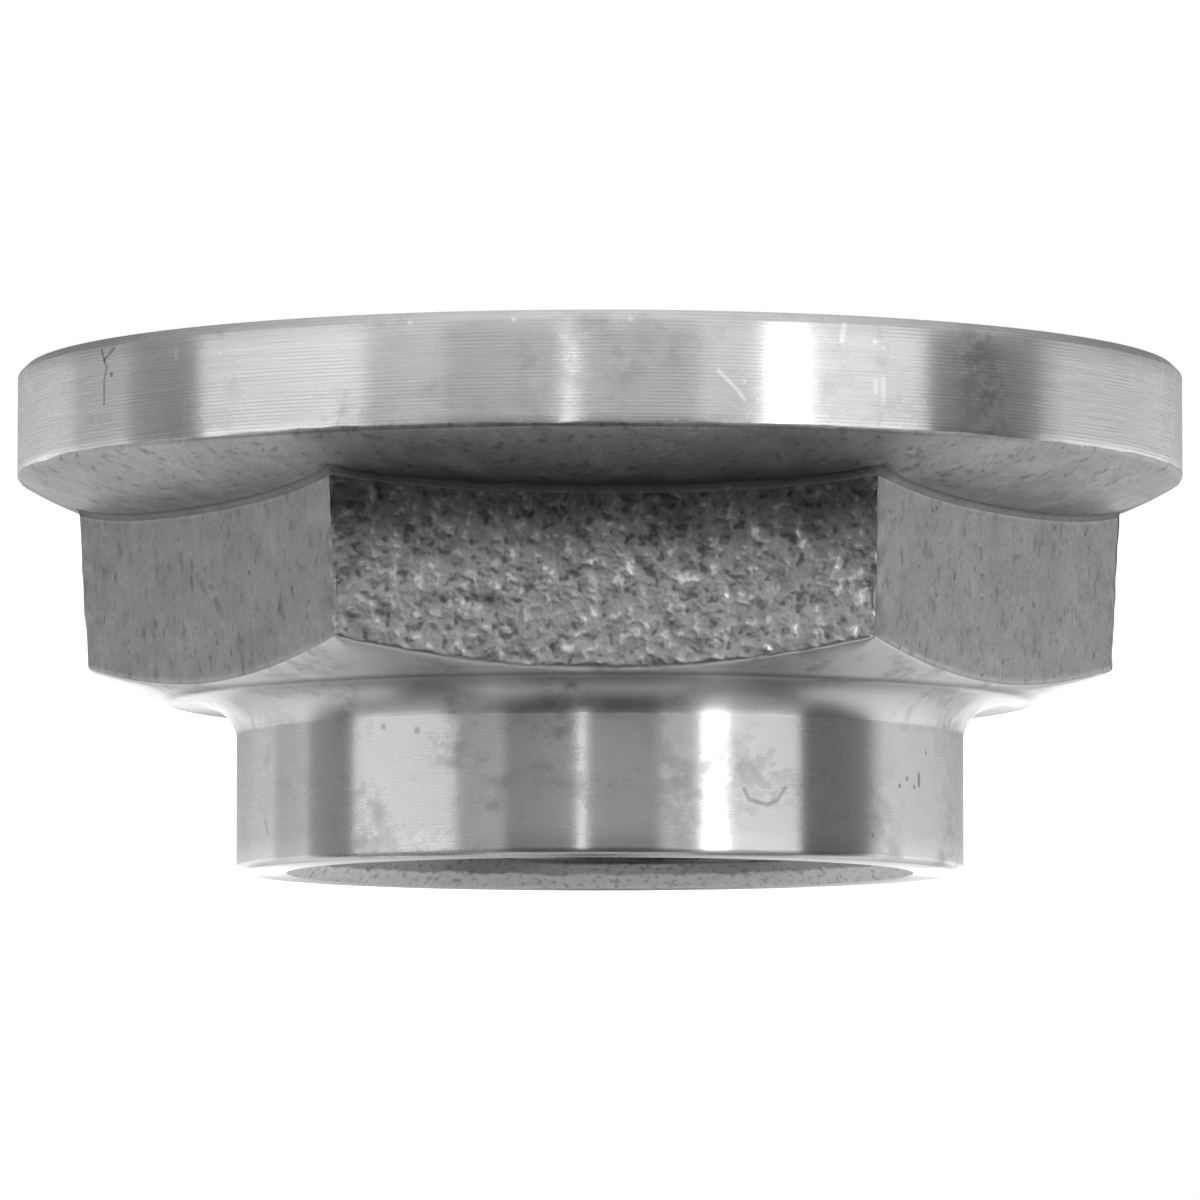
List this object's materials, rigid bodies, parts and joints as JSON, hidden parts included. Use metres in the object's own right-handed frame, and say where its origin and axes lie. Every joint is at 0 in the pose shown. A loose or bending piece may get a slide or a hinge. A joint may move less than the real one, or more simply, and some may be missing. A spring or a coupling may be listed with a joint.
{
  "type": "flanged hex nut with collar",
  "caption": "Steel hexagon nut on a round bearing flange, with a fine-threaded bore and a thin turned collar that is staked into a spindle keyway.",
  "frame": {"origin": "centre of the flange's bearing face, on the thread axis", "axes": "+Z along the thread axis from the bearing face toward the collar, one flat of the hexagon faces -Y, two corners lie on the X axis"},
  "size_m": [0.0466, 0.0466, 0.0201],
  "materials": {
    "steel": "turned and satin on the rim, ring face and collar, as forged and pitted on the flats and the crowned flange"
  },
  "bodies": {
    "root": {"flanged_nut": "steel"}
  },
  "joints": []
}
